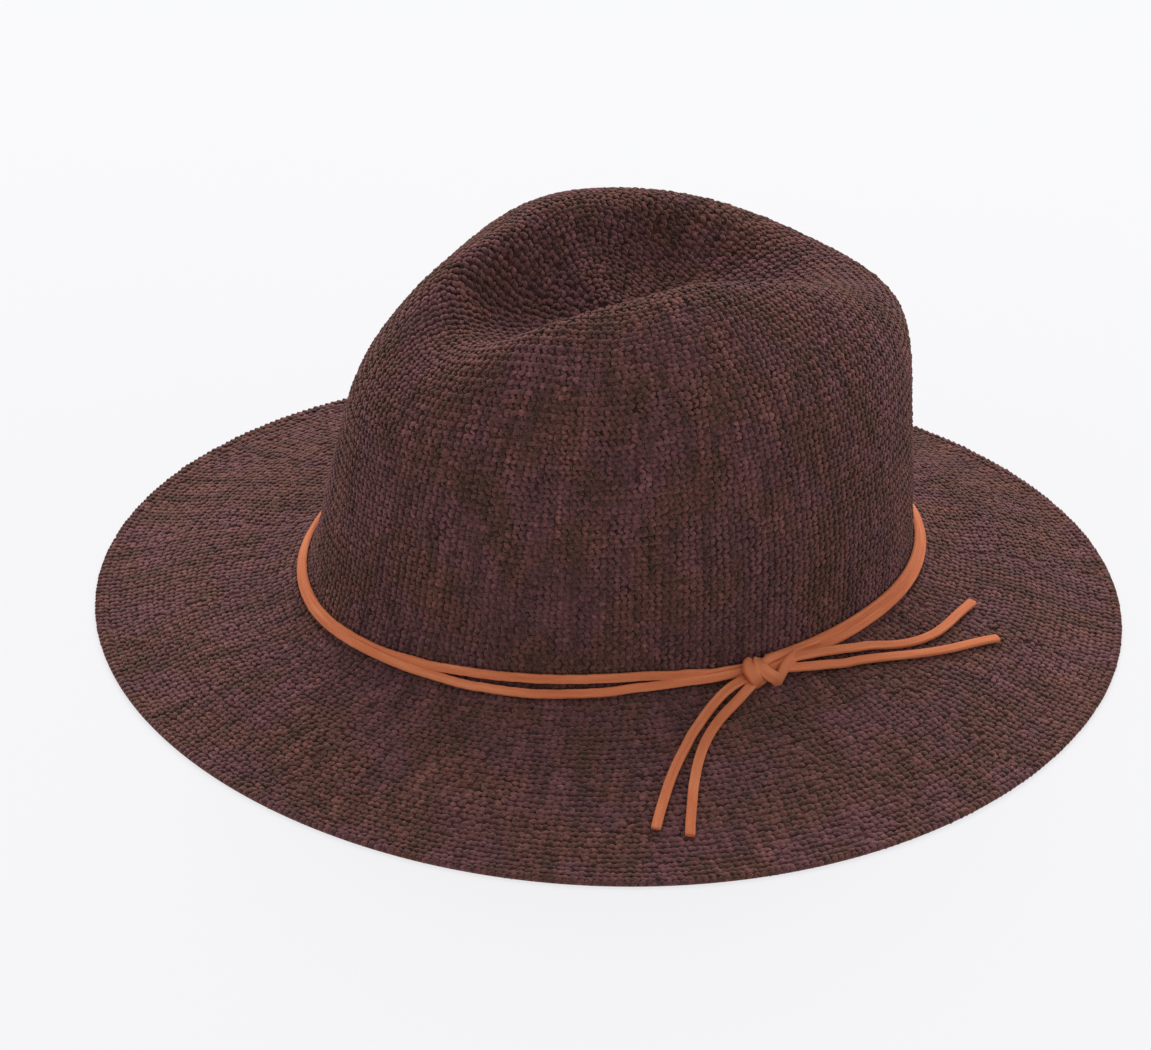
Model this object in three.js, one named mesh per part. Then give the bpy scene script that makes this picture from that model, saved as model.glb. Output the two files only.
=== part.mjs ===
// Rancher hat: a knitted crown and brim in one piece, a doubled lace tied round the foot
// of the crown, the knot at the wearer's left side and its four loose lace ends.
// Millimetres, +Z up, standing on the brim. The front of the hat faces -Y, so the
// wearer's left is +X. Angles are degrees round the crown from the front, 90 at the left.
import * as THREE from "three";

// Sizes of the knitted body
const crownWide = 170;
const crownLong = 206;
const crownHeight = 113.5;
const brimRadius = 164.8;
const brimRise = 15.5;
const wall = 2;
const hemWide = 5;

// Sizes of the lace and of its knot
const laceWide = 3.2;
const laceThick = 1.5;
const laceCorner = 0.35;
const laceGap = 0.3;
const knotAngle = 93;
const knotLong = 15;
const knotWide = 8.6;
const knotThick = 6.6;
const knotSeat = 0.4;

// How finely the faceted solids are cut
const columns = 64;
const strandSteps = 64;
const tailSteps = 18;
const waveSteps = 720;

// Crown sections from the front, 0, to the back, 180. The same on both sides.
// Radii are shares of the crown's foot ellipse, heights are shares of crownHeight above the foot.
const sectionColumns = [
  "angle", "valleyR", "valleyZ", "crestR", "crestZ", "shoulderR", "shoulderZ", "wallR", "wallZ",
];
const crownSections = [
  [0, 0.365, 0.785, 0.565, 0.825, 0.81, 0.68, 0.915, 0.34],
  [22.5, 0.33, 0.795, 0.535, 0.9, 0.785, 0.7, 0.905, 0.34],
  [45, 0.27, 0.835, 0.435, 0.965, 0.745, 0.735, 0.92, 0.345],
  [67.5, 0.24, 0.865, 0.405, 0.99, 0.76, 0.78, 0.945, 0.35],
  [90, 0.23, 0.875, 0.405, 1.005, 0.795, 0.8, 0.97, 0.355],
  [112.5, 0.25, 0.86, 0.415, 0.995, 0.82, 0.79, 0.98, 0.355],
  [135, 0.32, 0.825, 0.51, 0.955, 0.85, 0.765, 0.98, 0.35],
  [157.5, 0.4, 0.78, 0.665, 0.865, 0.895, 0.74, 0.97, 0.345],
  [180, 0.43, 0.77, 0.72, 0.795, 0.93, 0.715, 0.96, 0.34],
].map((row) => Object.fromEntries(sectionColumns.map((name, i) => [name, row[i]])));

// The rest of the profile. Heights in the crown are shares of crownHeight above the foot, and out
// is a share of the way from the wall's point to the foot ellipse. The brim's points are shares
// of its width and of brimRise.
const topPoint = { height: 0.765 };
const lowPoints = [
  { out: 0.5, height: 0.13 },
  { out: 1, height: 0.03 },
];
const brimPoints = [
  { across: 0.1, height: 0.97 },
  { across: 0.5, height: 0.55 },
  { across: 1, height: 0 },
];
// Where the wall, the middle of the brim and its edge come in the profile's list of points
const wallPlace = (sectionColumns.length - 1) / 2;
const edgePlace = wallPlace + lowPoints.length + brimPoints.length;
const midBrimPlace = edgePlace - 1;

// The brim's slight waves in plan: how many go round, and their size as shares of brimRadius
const brimWaves = [
  { waves: 1, front: 0.007, left: 0.011 },
  { waves: 2, front: 0.002, left: -0.008 },
  { waves: 3, front: -0.01, left: 0 },
  { waves: 4, front: 0, left: -0.002 },
];

// Rings cut between each two points of the profile, from the top of the crown to the brim's edge
const outerRings = [3, 3, 5, 2, 2, 4, 5, 2, 3];
const innerRings = [2, 2, 4, 2, 1, 2, 2, 1, 2];
// The step that a direction of the surface is measured over, in places and radians
const surfaceStep = 0.01;
// The step between points of the chain that the lace is laid along, in places
const chainStep = 0.02;
// How often the place over a point of the brim is halved down to
const brimHalvings = 16;

// How the two strands lie, from the knot round the front and the back to the knot again.
// height: the upper strand's centre line above the foot, a share of crownHeight.
// drop: from the upper strand down to the lower one along the surface, in lace widths.
// over: how far the lower strand stands out over the upper one, in lace thicknesses.
const strandRows = [
  { angle: 93, height: 0.052, drop: 1.5, over: 0 },
  { angle: 76, height: 0.06, drop: 1.5, over: 0 },
  { angle: 60, height: 0.07, drop: 1.75, over: 0 },
  { angle: 46, height: 0.068, drop: 1.75, over: 0 },
  { angle: 35, height: 0.06, drop: 1.5, over: 0 },
  { angle: 28, height: 0.058, drop: 1.5, over: 1.5 },
  { angle: 20, height: 0.057, drop: 0.5, over: 1.5 },
  { angle: -20, height: 0.06, drop: 0.5, over: 1.5 },
  { angle: -30, height: 0.06, drop: 1.5, over: 1.5 },
  { angle: -40, height: 0.058, drop: 1.5, over: 0 },
  { angle: -90, height: 0.052, drop: 1.5, over: 0 },
  { angle: -150, height: 0.045, drop: 1.5, over: 0 },
  { angle: -212, height: 0.042, drop: 1.5, over: 0 },
  { angle: -240, height: 0.052, drop: 1.5, over: 0 },
  { angle: -267, height: 0.052, drop: 1.5, over: 0 },
];

// Knot sections along it, from the front end to the back end, as shares of its half length,
// width and thickness, with how far each is skewed along the knot by its width
const knotSections = [
  { along: -1, wide: 0.62, thick: 0.6, skew: 0 },
  { along: -0.86, wide: 0.86, thick: 0.86, skew: 0.02 },
  { along: -0.5, wide: 1, thick: 1, skew: 0.08 },
  { along: -0.2, wide: 0.94, thick: 0.9, skew: 0.14 },
  { along: -0.08, wide: 0.8, thick: 0.78, skew: 0.2 },
  { along: 0.1, wide: 0.92, thick: 0.9, skew: 0.2 },
  { along: 0.45, wide: 0.96, thick: 0.86, skew: 0.14 },
  { along: 0.75, wide: 0.84, thick: 0.72, skew: 0.06 },
  { along: 1, wide: 0.66, thick: 0.55, skew: 0 },
];
const knotSides = 12;

// The four loose lace ends, from the knot out over the brim: x, y, and the centre line's lift
// above the brim
const tailRoutes = {
  tail_front_a: [
    [88.7, -3.9, 4.2], [89.3, -8.1, 3.6], [90.4, -11.9, 2.8], [92, -15.7, 2.2], [94.3, -19.8, 1.8],
    [97.1, -23.9, 1.6], [100.8, -28.9, 1.5], [105.2, -33.8, 1.5], [109.3, -38.3, 1.5],
    [113.8, -42.9, 1.5], [118.2, -47.1, 1.5], [122.4, -50.9, 1.5], [126.4, -54.5, 1.5],
    [129, -56.7, 1.5], [131.4, -58.7, 1.5],
  ],
  tail_front_b: [
    [91.4, -1.4, 4.3], [93.4, -6.2, 3.6], [94.9, -10.3, 2.8], [96.6, -14.3, 2.1], [99, -18.6, 1.7],
    [102, -22.8, 1.5], [105.7, -27, 1.5], [109.7, -30.8, 1.5], [114.1, -34.5, 1.5],
    [118.5, -37.8, 1.5], [122.8, -40.9, 1.5], [127, -43.6, 1.5], [131.3, -46.4, 1.5],
    [134.8, -48.6, 1.5], [138.2, -50.6, 1.5],
  ],
  tail_back_a: [
    [89.8, 11.9, 4], [90.1, 17.5, 3.6], [89.8, 22.3, 3], [89.3, 27.4, 2.4], [88.8, 32.7, 1.9],
    [88.5, 38.1, 1.7], [88.6, 43.2, 1.6], [89, 48.5, 1.6], [89.6, 54, 1.6], [90.2, 59.6, 1.6],
    [90.5, 65.3, 1.6], [90.5, 71.3, 1.6], [90, 77.7, 1.6], [89.4, 84.2, 1.6], [89.1, 90, 1.6],
  ],
  tail_back_b: [
    [86.2, 12, 4.8], [86.4, 17, 4.3], [86.2, 21.3, 3.9], [85.8, 25.6, 3.4], [85.2, 30.4, 2.9],
    [84.5, 35.5, 2.4], [83.8, 40.5, 2.1], [83.4, 45, 1.8], [83.7, 49.5, 1.6], [84.3, 53.8, 1.6],
    [84.5, 58.5, 1.6], [84, 64.1, 1.6], [82.3, 70.3, 1.6], [79.1, 76.9, 1.6], [75, 83.5, 1.6],
    [69.5, 92.7, 1.6],
  ],
};

const knit = new THREE.MeshStandardMaterial({ color: 0x523633, roughness: 0.95, metalness: 0 });
const lace = new THREE.MeshStandardMaterial({ color: 0xa35e42, roughness: 0.8, metalness: 0 });

const toRadians = (degrees) => THREE.MathUtils.degToRad(degrees);

// A crown column at an angle, as the cosine series that passes through its nine sections
function sectionValue(column, angle) {
  const last = crownSections.length - 1;
  let sum = 0;
  for (let k = 0; k <= last; k += 1) {
    let share = 0;
    for (let j = 0; j <= last; j += 1) {
      const end = j === 0 || j === last ? 0.5 : 1;
      share += end * crownSections[j][column] * Math.cos((Math.PI * k * j) / last);
    }
    const half = k === 0 || k === last ? 0.5 : 1;
    sum += half * (2 / last) * share * Math.cos(k * angle);
  }
  return sum;
}

// Distance from the crown's middle to the ellipse of its foot
function footRadius(angle) {
  return 1 / Math.hypot(Math.sin(angle) / (crownWide / 2), Math.cos(angle) / (crownLong / 2));
}

// Distance from the crown's middle to the edge of the brim
function edgeRadius(angle) {
  let share = 1;
  for (const { waves, front, left } of brimWaves) {
    share += front * Math.cos(waves * angle) + left * Math.sin(waves * angle);
  }
  return brimRadius * share;
}

// The middle of the brim's box, seen from the crown's middle
function brimMiddle() {
  const box = new THREE.Box2();
  for (let i = 0; i < waveSteps; i += 1) {
    const angle = (2 * Math.PI * i) / waveSteps;
    const r = edgeRadius(angle);
    box.expandByPoint(new THREE.Vector2(r * Math.sin(angle), -r * Math.cos(angle)));
  }
  return box.getCenter(new THREE.Vector2());
}

// The points that the outer profile passes through at one angle, as radius and height
function profilePoints(angle) {
  const foot = footRadius(angle);
  const brim = edgeRadius(angle) - foot;
  const base = wall + brimRise;
  const at = (r, z) => new THREE.Vector2(r * foot, base + z * crownHeight);
  const value = (column) => sectionValue(column, angle);
  const wallR = value("wallR");
  const points = [
    at(0, topPoint.height),
    at(value("valleyR"), value("valleyZ")),
    at(value("crestR"), value("crestZ")),
    at(value("shoulderR"), value("shoulderZ")),
    at(wallR, value("wallZ")),
  ];
  for (const { out, height } of lowPoints) {
    points.push(at(wallR + out * (1 - wallR), height));
  }
  for (const { across, height } of brimPoints) {
    points.push(new THREE.Vector2(foot + across * brim, wall + height * brimRise));
  }
  return points;
}

// A smooth curve through the points, level at the top of the crown and at the brim's edge.
// Returns its point at any place, counted in profile points.
function profileCurve(angle) {
  const points = profilePoints(angle);
  const last = points.length - 1;
  const spans = [];
  for (let i = 0; i < last; i += 1) {
    spans.push(points[i].distanceTo(points[i + 1]) ** 0.75);
  }
  const slope = (i) => points[i + 1].clone().sub(points[i]).divideScalar(spans[i]);
  const tangents = points.map((_, i) => {
    if (i === 0) return slope(0).setY(0);
    if (i === last) return slope(last - 1).setY(0);
    const before = slope(i - 1).multiplyScalar(spans[i]);
    const after = slope(i).multiplyScalar(spans[i - 1]);
    return before.add(after).divideScalar(spans[i - 1] + spans[i]);
  });
  return (place) => {
    const i = Math.min(Math.floor(place), last - 1);
    const f = place - i;
    const out = points[i].clone().multiplyScalar(2 * f ** 3 - 3 * f ** 2 + 1);
    out.addScaledVector(tangents[i], spans[i] * (f ** 3 - 2 * f ** 2 + f));
    out.addScaledVector(points[i + 1], -2 * f ** 3 + 3 * f ** 2);
    return out.addScaledVector(tangents[i + 1], spans[i] * (f ** 3 - f ** 2));
  };
}

// A point of the outer surface at an angle and a place along its profile
function surfacePoint(angle, place) {
  const { x: r, y: z } = profileCurve(angle)(place);
  return new THREE.Vector3(r * Math.sin(angle), -r * Math.cos(angle), z);
}

// The outward direction of the outer surface there
function surfaceNormal(angle, place) {
  const down = surfacePoint(angle, place + surfaceStep)
    .sub(surfacePoint(angle, place - surfaceStep));
  const round = surfacePoint(angle + surfaceStep, place)
    .sub(surfacePoint(angle - surfaceStep, place));
  return down.cross(round).normalize();
}

// The places along the profile of a shell's rings, after its top point
function ringPlaces(rings) {
  const places = [];
  rings.forEach((count, i) => {
    for (let j = 1; j <= count; j += 1) places.push(i + j / count);
  });
  return places;
}

// A closed body from rings of points, each seen from its start as turning the same way.
// Both ends close on one point each.
function bodyFromRings(start, rings, end) {
  const sides = rings[0].length;
  const points = [start, ...rings.flat(), end];
  const faces = [];
  const at = (ring, side) => 1 + ring * sides + (side % sides);
  for (let side = 0; side < sides; side += 1) {
    faces.push(0, at(0, side), at(0, side + 1));
    for (let ring = 0; ring < rings.length - 1; ring += 1) {
      faces.push(at(ring, side), at(ring + 1, side), at(ring + 1, side + 1));
      faces.push(at(ring, side), at(ring + 1, side + 1), at(ring, side + 1));
    }
    faces.push(at(rings.length - 1, side), points.length - 1, at(rings.length - 1, side + 1));
  }
  const geometry = new THREE.BufferGeometry().setFromPoints(points);
  geometry.setIndex(faces);
  geometry.computeVertexNormals();
  return geometry;
}

// Crown and brim: the outer surface, the edge, a level hem to stand on, and the inner surface
function hatBody() {
  const angles = Array.from({ length: columns }, (_, i) => (2 * Math.PI * i) / columns);
  const ringOf = (pointAt) => angles.map(pointAt);
  const rings = ringPlaces(outerRings).map((place) => ringOf((a) => surfacePoint(a, place)));
  const level = (inwards) =>
    ringOf((a) => {
      const r = edgeRadius(a) - inwards;
      return new THREE.Vector3(r * Math.sin(a), -r * Math.cos(a), 0);
    });
  rings.push(level(0), level(hemWide));
  const inner = ringPlaces(innerRings).filter((place) => place < edgePlace);
  for (const place of inner.reverse()) {
    rings.push(ringOf((a) => surfacePoint(a, place).addScaledVector(surfaceNormal(a, place), -wall)));
  }
  const top = surfacePoint(0, 0);
  return bodyFromRings(top, rings, top.clone().setZ(top.z - wall));
}

// The value of a strand column at an angle, eased from row to row
function strandValue(column, degrees) {
  const i = Math.max(1, strandRows.findIndex((row) => row.angle <= degrees));
  const from = strandRows[i - 1];
  const to = strandRows[i];
  const share = THREE.MathUtils.smoothstep((from.angle - degrees) / (from.angle - to.angle), 0, 1);
  return THREE.MathUtils.lerp(from[column], to[column], share);
}

// The corners of the lace's section: across its width, and through its thickness
function laceSection() {
  const w = laceWide / 2;
  const t = laceThick / 2;
  const c = Math.min(laceCorner, t / 2);
  return [
    [w, -t + c], [w, t - c], [w - c, t], [-w + c, t],
    [-w, t - c], [-w, -t + c], [-w + c, -t], [w - c, -t],
  ];
}

// The crown's foot at one angle as a fine chain of points, with the length along it
function footChain(angle) {
  const curve = profileCurve(angle);
  const chain = [];
  let length = 0;
  for (let place = wallPlace; place <= midBrimPlace; place += chainStep) {
    const point = curve(place);
    if (chain.length) length += point.distanceTo(chain[chain.length - 1].point);
    chain.push({ point, length });
  }
  return chain;
}

// Where something flat of a width lies on the foot: it rests on its two edges, with its middle
// a drop below the upper strand's height. Returns that middle and the directions there.
function seatOnFoot(degrees, drop, width) {
  const angle = toRadians(degrees);
  const chain = footChain(angle);
  const height = wall + brimRise + strandValue("height", degrees) * crownHeight;
  const upper = chain.find((step) => step.point.y <= height);
  const pointAt = (length) => chain.find((step) => step.length >= length).point;
  const above = pointAt(upper.length + drop - width / 2);
  const below = pointAt(upper.length + drop + width / 2);
  const place = above.clone().add(below).divideScalar(2);
  const down = below.clone().sub(above).normalize();
  const inSpace = (r, z) => new THREE.Vector3(r * Math.sin(angle), -r * Math.cos(angle), z);
  return {
    middle: inSpace(place.x, place.y),
    across: inSpace(down.x, down.y),
    out: inSpace(-down.y, down.x),
    round: new THREE.Vector3(Math.cos(angle), Math.sin(angle), 0),
  };
}

// The angle that half the knot and a gap take up round the foot
function knotReach() {
  return THREE.MathUtils.radToDeg((knotLong / 2 + laceGap) / footRadius(toRadians(knotAngle)));
}

// One strand of the doubled lace, laid on the crown's foot from the knot round to the knot
function bandStrand(isLower) {
  const rings = [];
  for (let i = 0; i <= strandSteps; i += 1) {
    const start = knotAngle - knotReach();
    const stop = knotAngle - 360 + knotReach();
    const degrees = THREE.MathUtils.lerp(start, stop, i / strandSteps);
    const drop = isLower ? strandValue("drop", degrees) * laceWide : 0;
    const over = isLower ? strandValue("over", degrees) * laceThick : 0;
    const { middle, across, out } = seatOnFoot(degrees, drop, laceWide);
    middle.addScaledVector(out, laceGap + laceThick / 2 + over);
    rings.push(laceSection().map(([w, t]) =>
      middle.clone().addScaledVector(across, -w).addScaledVector(out, t)));
  }
  const centre = (ring) =>
    ring.reduce((sum, point) => sum.add(point), new THREE.Vector3()).divideScalar(ring.length);
  return bodyFromRings(centre(rings[0]), rings, centre(rings[rings.length - 1]));
}

// The knot: an oval body with the hump of its first turn and the slanted one of its second
function knotBody() {
  const { middle, across, out, round } = seatOnFoot(knotAngle, laceWide / 2, knotSeat * knotWide);
  middle.addScaledVector(out, laceGap + knotThick / 2);
  const rings = knotSections.map(({ along, wide, thick, skew }) =>
    Array.from({ length: knotSides }, (_, i) => {
      const turn = (2 * Math.PI * i) / knotSides;
      const w = (Math.cos(turn) * wide * knotWide) / 2;
      const t = (Math.sin(turn) * thick * knotThick) / 2;
      return middle.clone()
        .addScaledVector(round, (along * knotLong) / 2 + skew * w)
        .addScaledVector(across, w)
        .addScaledVector(out, t);
    }));
  const end = (share) => middle.clone().addScaledVector(round, (share * knotLong) / 2);
  return bodyFromRings(end(-1), rings, end(1));
}

// Height of the outer surface over a point of the brim
function brimHeight(x, y) {
  const angle = Math.atan2(x, -y);
  const curve = profileCurve(angle);
  const r = Math.hypot(x, y);
  let outer = edgePlace;
  let inner = wallPlace;
  for (let i = 0; i < brimHalvings; i += 1) {
    const between = (outer + inner) / 2;
    if (curve(between).x > r) outer = between;
    else inner = between;
  }
  return curve(outer).y;
}

// A loose lace end: the section drawn along its route, with its broad face up
function tail(route, middle) {
  const points = route.map(([x, y, lift]) =>
    new THREE.Vector3(x + middle.x, y + middle.y, lift + brimHeight(x + middle.x, y + middle.y)));
  const path = new THREE.CatmullRomCurve3(points, false, "centripetal");
  const frames = path.computeFrenetFrames(tailSteps, false);
  const turn = Math.atan2(frames.binormals[0].z, frames.normals[0].z);
  const corners = laceSection().map(([w, t]) =>
    new THREE.Vector2(t, w).rotateAround(new THREE.Vector2(), turn));
  return new THREE.ExtrudeGeometry(new THREE.Shape(corners), {
    steps: tailSteps,
    extrudePath: path,
    bevelEnabled: false,
  });
}

function named(name, geometry, material) {
  const mesh = new THREE.Mesh(geometry, material);
  mesh.name = name;
  return mesh;
}

const group = new THREE.Group();
const middle = brimMiddle();
group.position.set(-middle.x, -middle.y, 0);
group.add(named("hat_body", hatBody(), knit));
group.add(named("band_upper", bandStrand(false), lace));
group.add(named("band_lower", bandStrand(true), lace));
group.add(named("lace_knot", knotBody(), lace));
for (const [name, route] of Object.entries(tailRoutes)) {
  group.add(named(name, tail(route, middle), lace));
}

export default group;
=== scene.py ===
# %% [markdown]
# A knitted rancher hat
# The real hat is one piece of knitting, steamed over a block into a teardrop crown and a wide brim,
# with a thin suede lace knotted round the foot of the crown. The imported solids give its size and
# place. Everything here is in metres in their frame: the front faces -Y and the wearer's left is +X.

import bpy
import numpy as np
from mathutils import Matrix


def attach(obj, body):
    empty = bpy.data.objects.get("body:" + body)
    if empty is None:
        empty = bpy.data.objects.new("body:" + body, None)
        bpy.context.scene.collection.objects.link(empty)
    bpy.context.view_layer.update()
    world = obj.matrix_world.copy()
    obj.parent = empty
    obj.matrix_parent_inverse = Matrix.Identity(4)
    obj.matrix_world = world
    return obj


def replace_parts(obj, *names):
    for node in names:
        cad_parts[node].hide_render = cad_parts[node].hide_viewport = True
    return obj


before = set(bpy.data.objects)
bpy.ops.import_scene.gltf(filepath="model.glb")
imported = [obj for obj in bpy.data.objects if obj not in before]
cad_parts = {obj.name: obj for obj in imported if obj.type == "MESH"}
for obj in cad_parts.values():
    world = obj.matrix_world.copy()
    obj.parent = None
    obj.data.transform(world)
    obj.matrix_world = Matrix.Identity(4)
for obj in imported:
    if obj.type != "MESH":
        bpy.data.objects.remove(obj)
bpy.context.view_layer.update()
MM = 0.001
rng = np.random.default_rng(7)
print("nodes:", sorted(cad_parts))

# %% [markdown]
# Camera
# The photograph was taken from the wearer's left and a little in front, looking down at 30 degrees.
# A long lens keeps the brim's ellipse nearly free of perspective. The camera is set from the angles,
# the distance and the one point of the hat whose pixel is known, so that the hat falls on the same
# part of the picture and no lens shift is needed.

# %% Camera
PICTURE = np.array([1151, 1050])
KNOWN_POINT = np.array([-1.76, -0.53, 2.0]) * MM
KNOWN_PIXEL = np.array([609, 602])
AZIMUTH, ELEVATION, ROLL = np.radians([60, 30.2, 1.66])
DISTANCE = 1.997
FOCAL_PIXELS = 6167
SENSOR = 36


def camera_axes():
    """Unit vectors of the view: right, up and back towards the camera, before the roll.
    back = (sin a cos e, -cos a cos e, sin e), right = (cos a, sin a, 0), up = back x right."""
    back = np.array([
        np.sin(AZIMUTH) * np.cos(ELEVATION),
        -np.cos(AZIMUTH) * np.cos(ELEVATION),
        np.sin(ELEVATION),
    ])
    right = np.array([np.cos(AZIMUTH), np.sin(AZIMUTH), 0])
    return right, np.cross(back, right), back


def add_camera():
    """A camera that looks along the ray of the picture's middle and is turned by the roll."""
    right, up, back = camera_axes()
    cos, sin = np.cos(ROLL), np.sin(ROLL)
    x, y = (PICTURE / 2 - KNOWN_PIXEL) / FOCAL_PIXELS
    ahead = (cos * x + sin * y) * right + (sin * x - cos * y) * up - back
    z = -ahead / np.linalg.norm(ahead)
    x_axis = cos * right + sin * up
    x_axis -= (x_axis @ z) * z
    x_axis /= np.linalg.norm(x_axis)
    turned = np.eye(4)
    turned[:3, :3] = np.stack([x_axis, np.cross(z, x_axis), z], 1)
    turned[:3, 3] = KNOWN_POINT + back * DISTANCE
    data = bpy.data.cameras.new("camera")
    data.sensor_width = SENSOR
    data.lens = SENSOR * FOCAL_PIXELS / PICTURE[0]
    data.clip_end = 20
    camera = bpy.data.objects.new("camera", data)
    camera.matrix_world = turned.T.tolist()
    bpy.context.scene.collection.objects.link(camera)
    bpy.context.scene.camera = camera
    return camera


camera = add_camera()
print("lens mm:", round(camera.data.lens, 1), "at", [round(v, 3) for v in camera.location])

# %% [markdown]
# Outer surface
# A blocked hat is a smooth surface: at every angle round the head its wall follows one profile, from
# the middle of the crown over the crest and down the wall to the brim's edge. The sections at nine
# angles are in a short table, the same on both sides. Between them each column is a cosine series,
# and through the points of one angle runs a smooth curve, so any point comes from two numbers.

# %% Sizes
CROWN_WIDE = 170 * MM
CROWN_LONG = 206 * MM
CROWN_HIGH = 113.5 * MM
BRIM_RADIUS = 164.8 * MM
BRIM_RISE = 15.5 * MM
WALL = 2 * MM

# Angle from the front in degrees, then the radius as a share of the foot ellipse and the height as a
# share of the crown's, for the valley, the crest, the shoulder and the wall
SECTIONS = np.array([
    [0, 0.365, 0.785, 0.565, 0.825, 0.81, 0.68, 0.915, 0.34],
    [22.5, 0.33, 0.795, 0.535, 0.9, 0.785, 0.7, 0.905, 0.34],
    [45, 0.27, 0.835, 0.435, 0.965, 0.745, 0.735, 0.92, 0.345],
    [67.5, 0.24, 0.865, 0.405, 0.99, 0.76, 0.78, 0.945, 0.35],
    [90, 0.23, 0.875, 0.405, 1.005, 0.795, 0.8, 0.97, 0.355],
    [112.5, 0.25, 0.86, 0.415, 0.995, 0.82, 0.79, 0.98, 0.355],
    [135, 0.32, 0.825, 0.51, 0.955, 0.85, 0.765, 0.98, 0.35],
    [157.5, 0.4, 0.78, 0.665, 0.865, 0.895, 0.74, 0.97, 0.345],
    [180, 0.43, 0.77, 0.72, 0.795, 0.93, 0.715, 0.96, 0.34],
])
TOP_HEIGHT = 0.765
LOW_POINTS = ((0.5, 0.13), (1, 0.03))
BRIM_POINTS = ((0.1, 0.97), (0.5, 0.55), (1, 0))
# The brim's waves in plan: how many go round, and their front and left parts as shares of its radius
WAVES = ((1, 0.007, 0.011), (2, 0.002, -0.008), (3, -0.01, 0), (4, 0, -0.002))
# Where points of note come in the profile
WALL_POINT, FOOT, MID_BRIM, EDGE = 4, 6, 8, 9
# Spans as chord lengths to this power keep the curve from swinging out at its short spans
CHORD_POWER = 0.75


def section_value(column, angle):
    """The cosine series that passes through a column's nine values at every eighth of a half turn."""
    last = len(SECTIONS) - 1
    steps = np.arange(last + 1)
    ends = np.where((steps == 0) | (steps == last), 0.5, 1)
    table = np.cos(np.pi * np.outer(steps, steps) / last)
    shares = ends * (2 / last) * (table @ (ends * SECTIONS[:, column]))
    return np.tensordot(shares, np.cos(np.multiply.outer(steps, angle)), 1)


def foot_radius(angle):
    """Distance to the ellipse of the crown's foot."""
    return 1 / np.hypot(np.sin(angle) / (CROWN_WIDE / 2), np.cos(angle) / (CROWN_LONG / 2))


def edge_radius(angle):
    """Distance to the brim's edge: the brim's radius with its waves."""
    share = 1 + sum(c * np.cos(n * angle) + s * np.sin(n * angle) for n, c, s in WAVES)
    return BRIM_RADIUS * share


def profile_points(angle):
    """The ten points of the profile at each angle, as an array of (point, angle, radius and height)."""
    foot, base, one = foot_radius(angle), WALL + BRIM_RISE, np.ones_like(angle)
    brim = edge_radius(angle) - foot
    columns = [section_value(k, angle) for k in range(1, SECTIONS.shape[1])]
    radii = [0 * one, *columns[0::2]]
    heights = [TOP_HEIGHT * one, *columns[1::2]]
    for out, height in LOW_POINTS:
        radii.append(columns[-2] + out * (1 - columns[-2]))
        heights.append(height * one)
    points = [(r * foot, base + h * CROWN_HIGH) for r, h in zip(radii, heights)]
    for across, height in BRIM_POINTS:
        points.append((foot + across * brim, (WALL + height * BRIM_RISE) * one))
    return np.moveaxis(np.array(points), 1, 2)


def profile(angle, place):
    """Radius and height at an angle and a place from 0, the crown's middle, to 9, the brim's edge: a
    cubic through the ten points, level at both ends, with spans of chord length to the power 0.75."""
    points = profile_points(angle)
    steps = points[1:] - points[:-1]
    spans = np.linalg.norm(steps, axis=2, keepdims=True) ** CHORD_POWER
    slopes = steps / spans
    inner = (slopes[:-1] * spans[1:] + slopes[1:] * spans[:-1]) / (spans[:-1] + spans[1:])
    level = np.array([1, 0])
    tangents = np.concatenate([slopes[:1] * level, inner, slopes[-1:] * level])
    index = np.clip(place.astype(int), 0, len(steps) - 1)
    f = (place - index)[:, None]
    row = np.arange(len(place))
    span = spans[index, row]
    return (
        points[index, row] * (2 * f**3 - 3 * f**2 + 1)
        + tangents[index, row] * span * (f**3 - 2 * f**2 + f)
        + points[index + 1, row] * (3 * f**2 - 2 * f**3)
        + tangents[index + 1, row] * span * (f**3 - f**2)
    )


def outline_middle():
    """The middle of the box round the brim's outline, seen from the crown's middle."""
    angle = np.linspace(0, 2 * np.pi, 720, endpoint=False)
    r = edge_radius(angle)
    x, y = r * np.sin(angle), -r * np.cos(angle)
    return np.array([(x.max() + x.min()) / 2, (y.max() + y.min()) / 2, 0])


MIDDLE = outline_middle()


def in_space(angle, radius, height):
    """Points from cylinder coordinates round the crown: (r sin a, -r cos a, z) less the middle."""
    points = np.stack([radius * np.sin(angle), -radius * np.cos(angle), height], -1)
    return points - MIDDLE


def surface(angle, place):
    """Points of the hat's outer surface at angles and places of any one shape."""
    angle, place = np.broadcast_arrays(angle, place)
    found = profile(angle.ravel().astype(float), place.ravel().astype(float))
    return in_space(angle, found[:, 0].reshape(angle.shape), found[:, 1].reshape(angle.shape))


def unit(vectors):
    return vectors / np.maximum(np.linalg.norm(vectors, axis=-1, keepdims=True), 1e-12)


def directions(angle, place):
    """Unit vectors down the profile, round the hat and outwards, from small differences. The crown's
    middle is a pole, so there they are taken a little beside it."""
    step, beside, further = 0.01, 0.001, 0.02
    low, high = np.clip(place - step, beside, EDGE), np.clip(place + step, beside, EDGE)
    down = unit(surface(angle, high) - surface(angle, low))
    aside = np.maximum(place, further)
    around = unit(surface(angle + step, aside) - surface(angle - step, aside))
    out = unit(np.cross(down, around))
    return down, around, out


print("brim outline's middle from the crown's, mm:", (MIDDLE / MM).round(2))

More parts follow.
